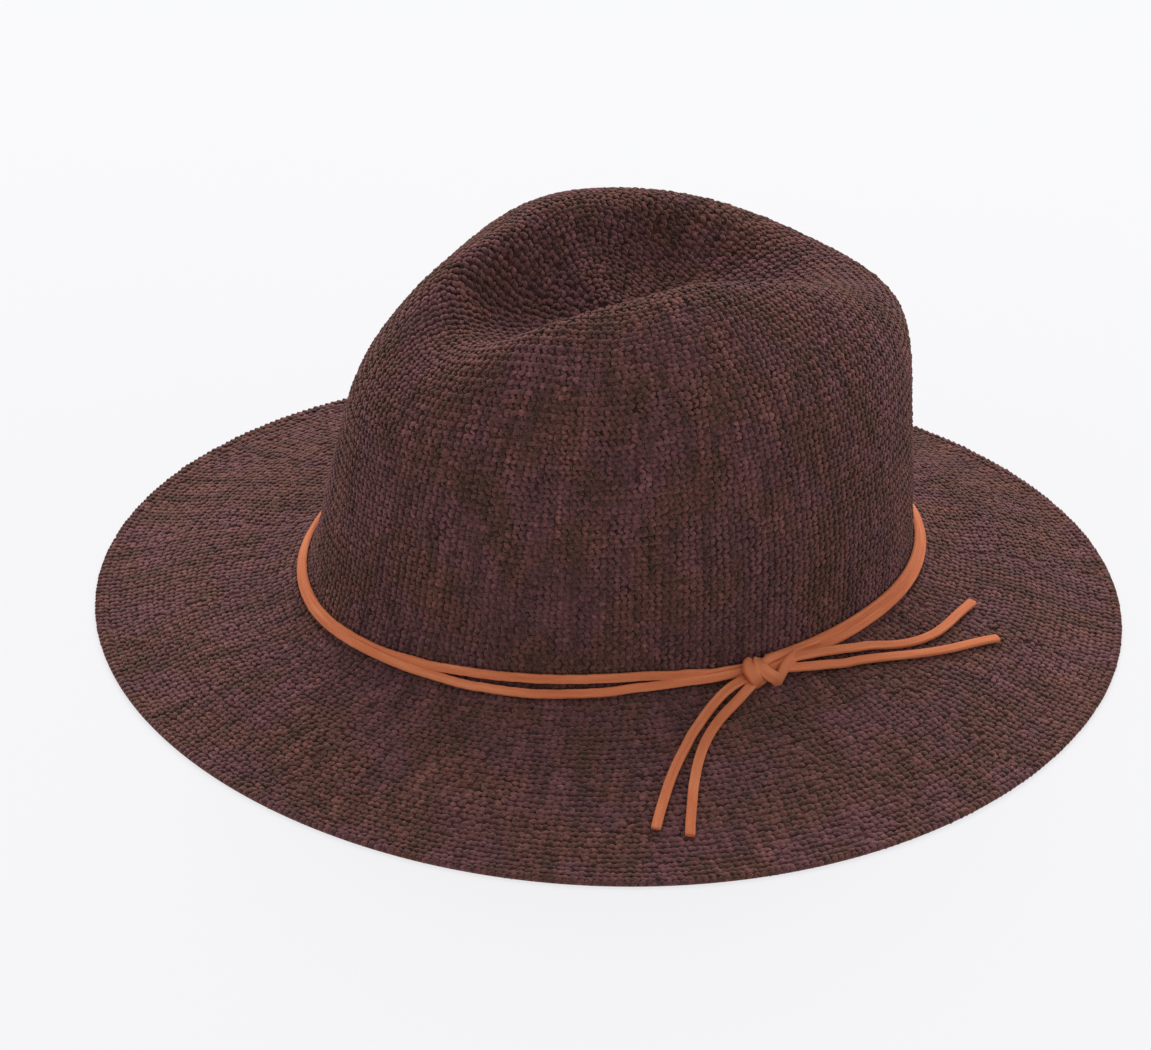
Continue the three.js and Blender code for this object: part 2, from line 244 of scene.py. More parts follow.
# %% [markdown]
# How the hat is knitted
# The knitting runs sideways: sixteen wedges, each of sixteen courses of yarn at the crown's foot, lie
# side by side round the head, and each course runs from the top of the crown down the wall and out
# over the brim. Short courses at the wedges' borders widen the brim and narrow the top. So a stitch
# has a wedge, a distance to the side of its middle line, and a share of the way down: 0 at the
# crown's middle, 1 at its foot and 2 at the brim's edge. Tables turn those into points.

# %% Knitted surface
WEDGES = 16
WEDGE_COURSES = 16
CROWN_WALES = 56
BRIM_WALES = 19
# A wedge keeps its full width where the crown is wider than this share of its foot
FULL_WALL = 0.92
LEAST_FULLNESS = 0.02
TABLE_ANGLES = 720
TABLE_PLACES = 451
TABLE_SHARES = 401


def place_table():
    """The place on the profile for each share of the way down (rows) and angle (columns)."""
    angle = np.linspace(0, 2 * np.pi, TABLE_ANGLES + 1)
    place = np.linspace(0, EDGE, TABLE_PLACES)
    steps = np.linalg.norm(np.diff(surface(angle, place[:, None]), axis=0), axis=2)
    length = np.concatenate([np.zeros((1, len(angle))), np.cumsum(steps, 0)])
    crown = length[place <= FOOT][-1]
    on_brim = 1 + (length - crown) / (length[-1] - crown)
    share = np.where(place[:, None] <= FOOT, length / crown, on_brim)
    wanted = np.linspace(0, 2, TABLE_SHARES)[:, None]
    # Each column is moved 3 beyond the last, so that one call reads all of them
    apart = 3 * np.arange(len(angle))
    known = np.tile(place, len(angle))
    found = np.interp((wanted + apart).T.ravel(), (share + apart).T.ravel(), known)
    return found.reshape(len(angle), TABLE_SHARES).T


def foot_turns():
    """Angles round the hat and the share of the foot's length that each has passed."""
    angle = np.linspace(0, 2 * np.pi, TABLE_ANGLES + 1)
    foot = np.stack([foot_radius(angle) * np.sin(angle), foot_radius(angle) * np.cos(angle)], 1)
    passed = np.concatenate([[0], np.cumsum(np.linalg.norm(np.diff(foot, axis=0), axis=1))])
    return angle, passed / passed[-1], passed[-1]


def read_table(table, row, column):
    """A table's value between its rows and columns."""
    # Just short of the last row and column, so that a next one exists
    row = np.clip(row, 0, table.shape[0] - 1.001)
    column = np.clip(column, 0, table.shape[1] - 1.001)
    i, j = row.astype(int), column.astype(int)
    f, g = row - i, column - j
    return (table[i, j] * (1 - g) + table[i, j + 1] * g) * (1 - f) + (
        table[i + 1, j] * (1 - g) + table[i + 1, j + 1] * g
    ) * f


PLACES = place_table()
TURN_ANGLES, TURNS, FOOT_AROUND = foot_turns()
COURSE = FOOT_AROUND / (WEDGES * WEDGE_COURSES)


def place_at(angle, share):
    """The place on the profile at an angle and a share of the way down."""
    return read_table(PLACES, share / 2 * (TABLE_SHARES - 1), angle / (2 * np.pi) * TABLE_ANGLES)


def wedge_fullness():
    """How wide each wedge is at each share of the way down, against its width at the foot. The wall
    is knitted straight, so only the brim and the top of the crown differ."""
    share = np.linspace(0, 2, TABLE_SHARES)[:, None]
    angle = np.interp((np.arange(WEDGES) + 0.5) / WEDGES, TURNS, TURN_ANGLES)
    share, angle = np.broadcast_arrays(share, angle)
    radius = profile(angle.ravel(), place_at(angle, share).ravel())[:, 0].reshape(angle.shape)
    ratio = radius / foot_radius(angle)
    return np.maximum(np.where(share < 1, np.minimum(ratio / FULL_WALL, 1), ratio), LEAST_FULLNESS)


FULLNESS = wedge_fullness()


def fullness(wedge, share):
    return read_table(FULLNESS, share / 2 * (TABLE_SHARES - 1), wedge.astype(float))


def knit_place(wedge, side, share):
    """Angle and place of the point that lies side metres from the middle line of a wedge."""
    turn = (wedge + 0.5) / WEDGES + side / (fullness(wedge, share) * FOOT_AROUND)
    angle = np.interp(turn % 1, TURNS, TURN_ANGLES)
    return angle, place_at(angle, share)


def knit_point(wedge, side, share):
    return surface(*knit_place(wedge, side, share))


print("foot of the crown, mm round:", round(FOOT_AROUND / MM), "course, mm:", round(COURSE / MM, 2))

# %% [markdown]
# Meshes from arrays
# All new pieces are grids or swept sections. One function puts arrays of points and triangles into
# a mesh, another names the triangles of a tube that is closed by a fan at each end.

# %% Mesh helpers
def add_piece(name, points, faces, material):
    """A smooth-shaded mesh object at the origin that rides on the hat's one body."""
    mesh = bpy.data.meshes.new(name)
    mesh.vertices.add(len(points))
    mesh.vertices.foreach_set("co", points.astype(np.float32).ravel())
    mesh.loops.add(faces.size)
    mesh.loops.foreach_set("vertex_index", faces.astype(np.int32).ravel())
    mesh.polygons.add(len(faces))
    mesh.polygons.foreach_set("loop_start", np.arange(0, faces.size, faces.shape[1], dtype=np.int32))
    mesh.polygons.foreach_set("use_smooth", np.ones(len(faces), bool))
    mesh.update(calc_edges=True)
    mesh.materials.append(material)
    piece = bpy.data.objects.new(name, mesh)
    bpy.context.scene.collection.objects.link(piece)
    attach(piece, "root")
    print(name, "has", len(faces) * (faces.shape[1] - 2), "triangles")
    return piece


def add_attribute(piece, name, vectors):
    """A vector for each point, which a material can read by name."""
    made = piece.data.attributes.new(name, "FLOAT_VECTOR", "POINT")
    made.data.foreach_set("vector", vectors.astype(np.float32).ravel())


def tube_faces(rings, sides):
    """Triangles of a closed tube: point 0 is the start's middle, then ring after ring, and the last
    point is the end's middle. The rings turn clockwise when seen along the tube."""
    side = np.arange(sides)
    after = (side + 1) % sides
    first = 1 + np.arange(rings - 1)[:, None] * sides
    a, b, c, d = first + side, first + after, first + sides + side, first + sides + after
    walls = np.concatenate([np.stack(three, -1).reshape(-1, 3) for three in ((a, c, d), (a, d, b))])
    last = 1 + (rings - 1) * sides
    start = np.stack([0 * side, 1 + side, 1 + after], -1)
    end = np.stack([last + side, 0 * side + last + sides, last + after], -1)
    return np.concatenate([start, walls, end])


# %% [markdown]
# Knitted cloth
# Steamed jersey is about 2 mm thick. The cloth behind the stitches is one closed shell: its outer
# face lies just under the legs of the stitches and shows between them, in their shadow and painted
# darker as shade, its inner face is the back of the knitting, and a round hem joins the two at the
# brim's edge.

# %% Shell
SHELL_DROP = 0.42 * MM
SHELL_SHORT = 1.2 * MM
SHELL_SIDES = 360
SHELL_OUTER, SHELL_INNER, SHELL_HEM = 84, 70, 5
# The first ring's share of the way down, beside the crown's middle, and how round the hem is
SHELL_START = 0.006
HEM_BULGE = 0.8


def shell_rings():
    """Rings of points from the crown's middle over the outside to the hem and back inside: outer =
    surface - drop x normal, inner = surface - wall x normal, hem = half circle between the two."""
    angle = np.linspace(0, 2 * np.pi, SHELL_SIDES, endpoint=False)
    edge_share = 2 - SHELL_SHORT / (BRIM_RADIUS - CROWN_WIDE / 2)

    def layer(share, depth):
        angles, shares = np.broadcast_arrays(angle, share[:, None])
        places = place_at(angles, shares)
        return surface(angles, places) - depth * directions(angles, places)[2], shares

    outer, outer_share = layer(np.linspace(SHELL_START, edge_share, SHELL_OUTER), SHELL_DROP)
    inner, inner_share = layer(np.linspace(edge_share, SHELL_START, SHELL_INNER), WALL)
    inner[..., 2] = np.maximum(inner[..., 2], 0)
    top, bottom = outer[-1], inner[0]
    turn = np.linspace(0, np.pi, SHELL_HEM + 2)[1:-1, None, None]
    middle, up = (top + bottom) / 2, (top - bottom) / 2
    round_out = unit(np.cross(np.roll(middle, -1, 0) - np.roll(middle, 1, 0), [0, 0, 1]))
    bulge = HEM_BULGE * np.linalg.norm(up, axis=1, keepdims=True) * round_out
    hem = middle + up * np.cos(turn) + bulge * np.sin(turn)
    rings = np.concatenate([outer, hem, inner])
    shares = np.concatenate([outer_share, np.full(hem.shape[:2], 2.0), inner_share])
    return rings, shares, np.broadcast_to(angle, shares.shape)


def add_shell(material):
    rings, shares, angles = shell_rings()
    points = np.concatenate([rings[0].mean(0)[None], rings.reshape(-1, 3), rings[-1].mean(0)[None]])
    points[-1, 2] = rings[-1, 0, 2]
    piece = add_piece("knit_shell", points, tube_faces(len(rings), SHELL_SIDES), material)
    course = np.interp(angles, TURN_ANGLES, TURNS) * WEDGES * WEDGE_COURSES
    wale = np.where(shares < 1, shares * CROWN_WALES, CROWN_WALES + (shares - 1) * BRIM_WALES)
    inside = np.broadcast_to((np.arange(len(rings)) >= SHELL_OUTER)[:, None], shares.shape)
    # The material reads the third number as the tone, so the outer face, seen between the stitches,
    # comes out darker than the inner one: more painted shade.
    place = np.stack([course, wale, inside], -1).reshape(-1, 3)
    add_attribute(piece, "yarn", np.concatenate([place[:1], place, place[-1:]]))
    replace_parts(piece, "hat_body")


# %% [markdown]
# Stitches
# Jersey shows its legs on the outside: each loop of yarn is seen as a V, here lying on its side
# because the courses run up and down. A leg is a plump closed strand that starts low beside the V's
# point, comes up and dives under the next loop. Every leg is the same small body with twelve
# corners, put at its place with numpy: corner = centre + along x leg + across x width + out x height.
# Yarn is never even, so each leg gets its own small shift and thickness.

# %% Stitches
LEG_SIDES = 5
# Each leg's ends in courses sideways and wales down. On the brim the cloth is stretched outwards, so
# the legs lie more along the wales and overlap more
CROWN_LEG = ((-0.5, 0.02), (0.5, 0.48))
BRIM_LEG = ((-0.62, 0.08), (0.62, 0.42))
LEG_RING = 0.52
LEG_WIDE = 0.24
LEG_DEEP = 0.38 * MM
LEG_SINK = 0.18 * MM
LEG_ARCH = 0.24 * MM
UNEVEN = 0.15
UNEVEN_SIDEWAYS, UNEVEN_DOWN = 0.5, 0.4
# The last courses at a wedge's border that are eased, and the side that gets an odd course
EASED_COURSES = 4
ODD_COURSE = 0.25
# The wales' directions are read no nearer to the crown's middle than this share
TOP_SHARE = 0.002
# The yarn's twist makes one leg of each V stand up more, towards one side of the crown
LEAN_ANGLE = 15
LEAN_WIDE, LEAN_DEEP = 0.14, 0.3
LEAN_FADE = 0.15
# In the yarn attribute a leg reaches this many courses each way, and lies this far beside its wale
YARN_REACH, YARN_ASIDE = 0.6, 0.25
TILE_MARGIN = 0.08
# The stitches stop short of the brim's edge, where the hem's own loops follow
HEM_SHARE = 1.984
HEM_LOOP = 0.85 * MM
HEM_INSET = 0.2 * MM
HEM_HIGH = 0.6 * WALL
HEM_ALONG, HEM_RISE = 0.55, 0.5
HEM_UNEVEN = 0.05 * MM
HEM_UNEVEN_SIZE = 0.06
CLEAR_OF_FLOOR = 0.05 * MM


def leg_template():
    """One leg: along from -1 to 1, then across and out on a unit circle, for two tips and two rings,
    the second turned half a side. Faces are the twenty triangles of a stretched icosahedron."""
    turn = 2 * np.pi * np.arange(LEG_SIDES) / LEG_SIDES
    first = np.stack([np.full(LEG_SIDES, -LEG_RING), np.cos(turn), np.sin(turn)], 1)
    turn = turn + np.pi / LEG_SIDES
    second = np.stack([np.full(LEG_SIDES, LEG_RING), np.cos(turn), np.sin(turn)], 1)
    corners = np.concatenate([[[-1, 0, 0]], first, second, [[1, 0, 0]]])
    k = np.arange(LEG_SIDES)
    a, b = 1 + k, 1 + (k + 1) % LEG_SIDES
    c, d = a + LEG_SIDES, b + LEG_SIDES
    faces = np.concatenate([
        np.stack([0 * k, b, a], 1),
        np.stack([a, b, c], 1),
        np.stack([c, b, d], 1),
        np.stack([c, d, 0 * k + 2 * LEG_SIDES + 1], 1),
    ])
    strip = np.concatenate([
        np.stack([k + 0.5, 0 * k, k + 1, 0 * k + 1, k, 0 * k + 1], 1),
        np.stack([k, 0 * k + 1, k + 1, 0 * k + 1, k + 0.5, 0 * k + 2], 1),
        np.stack([k + 0.5, 0 * k + 2, k + 1, 0 * k + 1, k + 1.5, 0 * k + 2], 1),
        np.stack([k + 0.5, 0 * k + 2, k + 1.5, 0 * k + 2, k + 1, 0 * k + 3], 1),
    ])
    return corners, faces, strip.reshape(-1, 3, 2) / [LEG_SIDES + 0.5, 3]


def stitch_grid():
    """Wedge, course, wale and share of every stitch. A wedge has the courses that it is wide enough
    for, and the last few at its borders are eased sideways until they meet the next wedge's."""
    wales = np.concatenate([
        (np.arange(CROWN_WALES) + 0.5) / CROWN_WALES,
        1 + (HEM_SHARE - 1) * (np.arange(BRIM_WALES) + 0.5) / BRIM_WALES,
    ])
    course = np.arange(-WEDGE_COURSES, WEDGE_COURSES) + 0.5
    wedge, course, wale = np.meshgrid(np.arange(WEDGES), course, np.arange(len(wales)), indexing="ij")
    share = wales[wale]
    half = WEDGE_COURSES / 2 * fullness(wedge, share)
    kept = np.abs(course - ODD_COURSE) <= half
    right, left = (np.floor(half + room - 0.5) + 0.5 for room in (ODD_COURSE, -ODD_COURSE))
    last = np.where(course > 0, right, left)
    eased = np.clip(1 - (last - np.abs(course)) / EASED_COURSES, 0, 1)
    course = course + np.sign(course) * eased * (2 * half - right - left - 1) / 2
    return wedge[kept], course[kept], wale[kept], share[kept]


def stitch_axes(wedge, course, share):
    """A stitch's centre, one course sideways, one wale down and the direction out."""
    side = course * COURSE
    wale = np.where(share < 1, 1 / CROWN_WALES, 1 / BRIM_WALES)
    near = np.where(share < 1, np.minimum(share + wale / 2, 1), share + wale / 2)
    far = np.where(share > 1, np.maximum(share - wale / 2, 1), share - wale / 2)
    centre = knit_point(wedge, side, share)
    beside = knit_point(wedge, side + COURSE / 2, share)
    round_hat = beside - knit_point(wedge, side - COURSE / 2, share)
    below = knit_point(wedge, side, np.minimum(near, 2))
    down = below - knit_point(wedge, side, np.maximum(far, TOP_SHARE))
    return centre, round_hat, down, unit(np.cross(down, round_hat))


def add_stitches(name, material, wedge, course, wale, share):
    """Both legs of each stitch as one piece."""
    centre, round_hat, down, out = stitch_axes(wedge, course, share)
    angle = knit_place(wedge, course * COURSE, share)[0]
    lean = np.cos(angle + np.radians(LEAN_ANGLE)) * np.clip((1 - share) / LEAN_FADE, 0, 1)
    corners, faces, strip = leg_template()
    tip, far_end = CROWN_LEG if share[0] < 1 else BRIM_LEG
    points, yarn = [], []
    for hand in (-1, 1):
        uneven = rng.normal(0, UNEVEN, (5, len(centre), 1))
        start = tip[0] * round_hat + hand * tip[1] * down
        end = far_end[0] * round_hat + hand * far_end[1] * down
        middle = centre + (start + end) / 2
        middle = middle + (UNEVEN_SIDEWAYS * uneven[0] * round_hat + UNEVEN_DOWN * uneven[1] * down)
        raised = uneven[2] - 0.5 * hand * LEAN_DEEP * lean[:, None]
        middle = middle + (raised * LEG_DEEP - LEG_SINK) * out
        half = (end - start) / 2
        across = unit(np.cross(out, half)) * np.linalg.norm(down, axis=1, keepdims=True) * LEG_WIDE
        across = across * (1 + uneven[3] - hand * LEAN_WIDE * lean[:, None])
        deep = LEG_DEEP * (1 + uneven[4] - hand * LEAN_DEEP * lean[:, None])
        arch = LEG_ARCH * corners[:, 0] ** 2
        height = corners[:, 2] * deep - arch
        points.append(
            middle[:, None]
            + corners[:, 0, None] * half[:, None]
            + corners[:, 1, None] * across[:, None]
            + height[..., None] * out[:, None]
        )
        along = YARN_REACH * corners[:, 0] + (wedge * WEDGE_COURSES + course)[:, None]
        aside = np.repeat(wale[:, None] + YARN_ASIDE * hand, len(corners), 1)
        lay = np.stack([along, aside], -1)
        chance = np.broadcast_to(rng.uniform(0, 1, (len(centre), 1, 1)), (*lay.shape[:2], 1))
        yarn.append(np.concatenate([lay, chance], -1))
    points = np.concatenate(points)
    legs = len(points)
    all_faces = (faces + len(corners) * np.arange(legs)[:, None, None]).reshape(-1, 3)
    piece = add_piece(name, points.reshape(-1, 3), all_faces, material)
    add_attribute(piece, "yarn", np.concatenate(yarn).reshape(-1, 3))
    tiles = int(np.ceil(np.sqrt(legs)))
    tile = np.stack([np.arange(legs) % tiles, np.arange(legs) // tiles], 1)
    placed = (tile[:, None, None] + TILE_MARGIN + (1 - 2 * TILE_MARGIN) * strip) / tiles
    chart = piece.data.uv_layers.new(name="OFBake")
    chart.data.foreach_set("uv", placed.astype(np.float32).ravel())


def add_hem_loops(name, material):
    """The cast-off edge: one plump loop a course, slanted along the rim like a cord's strands."""
    course = np.arange(-WEDGE_COURSES, WEDGE_COURSES) + 0.5
    wedge, course = (grid.ravel() for grid in np.meshgrid(np.arange(WEDGES), course, indexing="ij"))
    share = np.full(len(course), 2.0)
    kept = np.abs(course - ODD_COURSE) <= WEDGE_COURSES / 2 * fullness(wedge, share)
    wedge, course, share = wedge[kept], course[kept], share[kept]
    centre, round_hat, _, _ = stitch_axes(wedge, course, share)
    outward = unit(np.cross(round_hat, [0, 0, 1]))
    centre = centre - outward * (HEM_LOOP + HEM_INSET)
    centre[:, 2] = HEM_HIGH + rng.normal(0, HEM_UNEVEN, len(centre))
    half = HEM_ALONG * round_hat + [0, 0, HEM_RISE * HEM_LOOP]
    across = unit(np.cross(outward, half)) * HEM_LOOP
    corners, faces, _ = leg_template()
    size = 1 + rng.normal(0, HEM_UNEVEN_SIZE, (len(centre), 1, 1))
    points = centre[:, None] + size * (
        corners[:, 0, None] * half[:, None]
        + corners[:, 1, None] * across[:, None]
        + corners[:, 2, None] * HEM_LOOP * outward[:, None]
    )
    points[..., 2] = np.maximum(points[..., 2], CLEAR_OF_FLOOR)
    all_faces = (faces + len(corners) * np.arange(len(centre))[:, None, None]).reshape(-1, 3)
    piece = add_piece(name, points.reshape(-1, 3), all_faces, material)
    last_wale = np.full(len(course), float(CROWN_WALES + BRIM_WALES))
    lay = np.stack([wedge * WEDGE_COURSES + course, last_wale, 0 * course], -1)
    add_attribute(piece, "yarn", np.repeat(lay, len(corners), 0))


# %% [markdown]
# Materials
# Colours are given as they look on a screen and turned to linear light by one function. One small
# function adds a shader node with its settings, its values and its links.

# %% Shader helpers
def linear(code):
    """An sRGB hex code as linear red, green, blue and alpha."""
    value = np.array([int(code[i : i + 2], 16) for i in (1, 3, 5)]) / 255
    shown = np.where(value <= 0.04045, value / 12.92, ((value + 0.055) / 1.055) ** 2.4)
    return (*shown.tolist(), 1)


def add_node(tree, kind, inputs=(), stops=(), **settings):
    """Adds a node. inputs maps a socket's name or number to a value or to another node's output, and
    stops are a colour ramp's places and colours."""
    made = tree.nodes.new(kind)
    for name, value in settings.items():
        setattr(made, name, value)
    for name, value in dict(inputs).items():
        if isinstance(value, bpy.types.NodeSocket):
            tree.links.new(value, made.inputs[name])
        else:
            made.inputs[name].default_value = value
    for i, (place, colour) in enumerate(stops):
        points = made.color_ramp.elements
        point = points[i] if i < 2 else points.new(place)
        point.position, point.color = place, colour
    return made


def new_material(name):
    """An empty material with its output node and its tree of nodes."""
    material = bpy.data.materials.new(name)
    material.use_nodes = True
    tree = material.node_tree
    tree.nodes.clear()
    return material, tree, tree.nodes.new("ShaderNodeOutputMaterial")


# %% [markdown]
# Yarn
# The yarn is a soft marled wool blend, dyed in several browns and spun together: reddish brown,
# purple brown, dark olive and near black. Because each length of yarn keeps its shade, the knitting
# shows streaks that follow the courses, one to three stitches wide. The fibres scatter light and
# stand off the surface, which is why it looks matt and a little lighter where it is seen edge on.

# %% Yarn material
FIBRE_SIZE = 1.1 * MM
PATCH_SIZE = 18 * MM
# Painted shade: the yarn behind the stitches, seen in the gaps between them and inside the hat, is
# this much darker than the stitches
BEHIND_PAINTED_SHADE = 0.85


def purl_bumps(tree, yarn, fibre):
    """The back of the knitting: a bump for each stitch, |sin course| x |sin wale|, with fibres."""
    parts = add_node(tree, "ShaderNodeSeparateXYZ", {0: yarn})
    waves = []
    for axis in ("X", "Y"):
        wave = {0: parts.outputs[axis], 1: np.pi}
        for operation in ("MULTIPLY", "SINE", "ABSOLUTE"):
            wave = {0: add_node(tree, "ShaderNodeMath", wave, operation=operation).outputs[0]}
        waves.append(wave[0])
    bumps = add_node(tree, "ShaderNodeMath", {0: waves[0], 1: waves[1]}, operation="MULTIPLY")
    return add_node(
        tree, "ShaderNodeMath", {0: fibre, 1: 0.4, 2: bumps.outputs[0]}, operation="MULTIPLY_ADD"
    ).outputs[0]


def marled_wool(name, dark):
    """Brown marled yarn. dark is how far the colour is turned down: 1 for the stitches, less for
    painted shade on the yarn behind them.
    """
    material, tree, output = new_material(name)
    yarn = add_node(tree, "ShaderNodeAttribute", attribute_name="yarn").outputs["Vector"]
    place = add_node(tree, "ShaderNodeTexCoord").outputs["Object"]
    stretch = {0: yarn, 1: (0.5, 0.16, 0.9)}
    stretched = add_node(tree, "ShaderNodeVectorMath", stretch, operation="MULTIPLY")
    streak = add_node(
        tree,
        "ShaderNodeTexNoise",
        {"Vector": stretched.outputs[0], "Scale": 1.0, "Detail": 2.0, "Roughness": 0.6},
    )
    fibre, patch = (
        add_node(tree, "ShaderNodeTexNoise", {"Vector": place, "Scale": 1 / size, "Detail": detail})
        for size, detail in ((FIBRE_SIZE, 4.0), (PATCH_SIZE, 2.0))
    )
    mixed = add_node(
        tree, "ShaderNodeMath", {0: streak.outputs["Fac"], 1: fibre.outputs["Fac"]}, operation="ADD"
    )
    mixed = add_node(tree, "ShaderNodeMath", {0: mixed.outputs[0], 1: 0.5}, operation="MULTIPLY")
    purple = add_node(
        tree,
        "ShaderNodeMapRange",
        {"Value": patch.outputs[0], "From Min": 0.42, "From Max": 0.6, "To Min": 0.0, "To Max": 0.7},
    )
    colour = add_node(
        tree,
        "ShaderNodeValToRGB",
        {"Fac": mixed.outputs[0]},
        stops=(
            (0.34, linear("#33211C")),
            (0.66, linear("#88574B")),
            (0.43, linear("#473128")),
            (0.5, linear("#5C3932")),
            (0.57, linear("#6C433C")),
        ),
    )
    purple_brown = add_node(
        tree,
        "ShaderNodeValToRGB",
        {"Fac": mixed.outputs[0]},
        stops=((0.36, linear("#392428")), (0.66, linear("#80525A")), (0.5, linear("#603B42"))),
    )
    both = add_node(
        tree,
        "ShaderNodeMix",
        {"Factor": purple.outputs[0], "A": colour.outputs["Color"], "B": purple_brown.outputs["Color"]},
        data_type="RGBA",
    )
    chance = add_node(tree, "ShaderNodeSeparateXYZ", {0: yarn}).outputs["Z"]
    # The tone is scaled by dark, which is below 1 where the yarn carries painted shade.
    tone = add_node(
        tree,
        "ShaderNodeMapRange",
        {"Value": chance, "From Min": 0, "From Max": 1, "To Min": 0.86 * dark, "To Max": 1.08 * dark},
    )
    toned = add_node(
        tree,
        "ShaderNodeVectorMath",
        {0: both.outputs["Result"], "Scale": tone.outputs[0]},
        operation="SCALE",
    )
    front = {"Height": fibre.outputs["Fac"], "Strength": 0.4, "Distance": 0.2 * MM}
    purl = purl_bumps(tree, yarn, fibre.outputs["Fac"])
    back = {"Height": purl, "Strength": 0.9, "Distance": 0.8 * MM}
    bump = add_node(tree, "ShaderNodeBump", front if dark == 1 else back)
    shader = add_node(
        tree,
        "ShaderNodeBsdfPrincipled",
        {
            "Base Color": toned.outputs[0],
            "Roughness": 0.95,
            "Specular IOR Level": 0.15,
            "Sheen Weight": 0.5 if dark == 1 else 0.0,
            "Sheen Roughness": 0.5,
            "Sheen Tint": linear("#C8A49A"),
            "Normal": bump.outputs[0],
        },
    )
    tree.links.new(shader.outputs[0], output.inputs["Surface"])
    return material


YARN = marled_wool("marled_wool_yarn", 1.0)
# The same marl with its colour turned down as painted shade, for the yarn behind the stitches.
YARN_WITH_PAINTED_SHADE = marled_wool("marled_wool_painted_shade_behind_stitches", BEHIND_PAINTED_SHADE)

# %% Knitting
# The shares of the way down that each piece of the knitting covers
PIECE_SHARES = {
    "crown_top_stitches": (0, 0.42),
    "crown_upper_stitches": (0.42, 0.72),
    "crown_lower_stitches": (0.72, 1),
    "brim_inner_stitches": (1, 1.55),
    "brim_outer_stitches": (1.55, 2),
}
# The shell wears the darker yarn, with painted shade.
add_shell(YARN_WITH_PAINTED_SHADE)
add_hem_loops("hem_loops", YARN)
stitches = stitch_grid()
for name, (low, high) in PIECE_SHARES.items():
    chosen = (stitches[3] >= low) & (stitches[3] < high)
    add_stitches(name, YARN, *(column[chosen] for column in stitches))
print("stitches:", len(stitches[0]))

# %% [markdown]
# Faux suede lace
# The lace is a microfibre suede: a matt nap of short fibres on a flat strip, about 3 mm wide. The nap
# scatters light, so there is no gloss, only a soft sheen where it is seen from the side, and it leans
# this way and that, which makes faint lighter and darker streaks along the strip. The streaks
# follow the piece's own map, whose first number runs along the lace and second across it.

# %% Lace material
NAP_SIZE = 0.35 * MM


def suede_lace():
    """Matt tan suede: streaks along the lace and a fine nap."""
    material, tree, output = new_material("microfibre_suede")
    lace = add_node(tree, "ShaderNodeAttribute", attribute_name="lace").outputs["Vector"]
    stretch = {0: lace, 1: (0.06, 0.8, 0.8)}
    stretched = add_node(tree, "ShaderNodeVectorMath", stretch, operation="MULTIPLY")
    streak = add_node(
        tree, "ShaderNodeTexNoise", {"Vector": stretched.outputs[0], "Scale": 1.0, "Detail": 3.0}
    )
    place = add_node(tree, "ShaderNodeTexCoord").outputs["Object"]
    nap = add_node(
        tree, "ShaderNodeTexNoise", {"Vector": place, "Scale": 1 / NAP_SIZE, "Detail": 2.0}
    )
    tone = add_node(
        tree,
        "ShaderNodeMapRange",
        {"Value": nap.outputs[0], "From Min": 0.3, "From Max": 0.7, "To Min": -0.12, "To Max": 0.12},
    )
    mixed = add_node(
        tree, "ShaderNodeMath", {0: streak.outputs["Fac"], 1: tone.outputs[0]}, operation="ADD"
    )
    colour = add_node(
        tree,
        "ShaderNodeValToRGB",
        {"Fac": mixed.outputs[0]},
        stops=((0.2, linear("#C26843")), (0.8, linear("#E08D62")), (0.5, linear("#D2784E"))),
    )
    bump = add_node(
        tree,
        "ShaderNodeBump",
        {"Height": nap.outputs["Fac"], "Strength": 0.35, "Distance": 0.15 * MM},
    )
    shader = add_node(
        tree,
        "ShaderNodeBsdfPrincipled",
        {
            "Base Color": colour.outputs["Color"],
            "Roughness": 0.85,
            "Specular IOR Level": 0.25,
            "Sheen Weight": 0.15,
            "Sheen Roughness": 0.5,
            "Sheen Tint": linear("#E89A70"),
            "Normal": bump.outputs[0],
        },
    )
    tree.links.new(shader.outputs[0], output.inputs["Surface"])
    return material


LACE = suede_lace()

# %% [markdown]
# Loose lace ends
# Each end is a limp flat lace that comes out of the knot and lies on the brim. It is swept along
# the same points as its solid: a rounded rectangle, a superellipse, carried along a smooth line with
# its broad face on the knit. The ends are cut square and a little crushed by the blade.

# %% Lace sweep
LACE_WIDE = 3.2 * MM
LACE_THICK = 1.5 * MM
LACE_SIDES = 20
CUT_EDGE = 0.25 * MM
# The size of a cut end against the lace behind it, and how square the section's corners are: a
# power of 1 is round, 0 a rectangle
BLUNT = 0.86
SQUARE_ACROSS, SQUARE_THROUGH = 0.42, 0.62


def smooth_line(points, count):
    """A centripetal Catmull-Rom curve through the points, at count places evenly spread over them."""
    points = np.asarray(points, float)
    ends = np.concatenate([2 * points[:1] - points[1:2], points, 2 * points[-1:] - points[-2:-1]])
    gaps = np.sqrt(np.linalg.norm(np.diff(ends, axis=0), axis=1))[:, None]
    place = np.linspace(0, len(points) - 1, count)
    i = np.minimum(place.astype(int), len(points) - 2)
    f = (place - i)[:, None]
    p0, p1, p2, p3 = (ends[i + k] for k in range(4))
    d0, d1, d2 = (gaps[i + k] for k in range(3))
    leave = d1 * ((p1 - p0) / d0 - (p2 - p0) / (d0 + d1) + (p2 - p1) / d1)
    enter = d1 * ((p2 - p1) / d1 - (p3 - p1) / (d1 + d2) + (p3 - p2) / d2)
    return (
        p1 * (2 * f**3 - 3 * f**2 + 1)
        + leave * (f**3 - 2 * f**2 + f)
        + p2 * (3 * f**2 - 2 * f**3)
        + enter * (f**3 - f**2)
    )


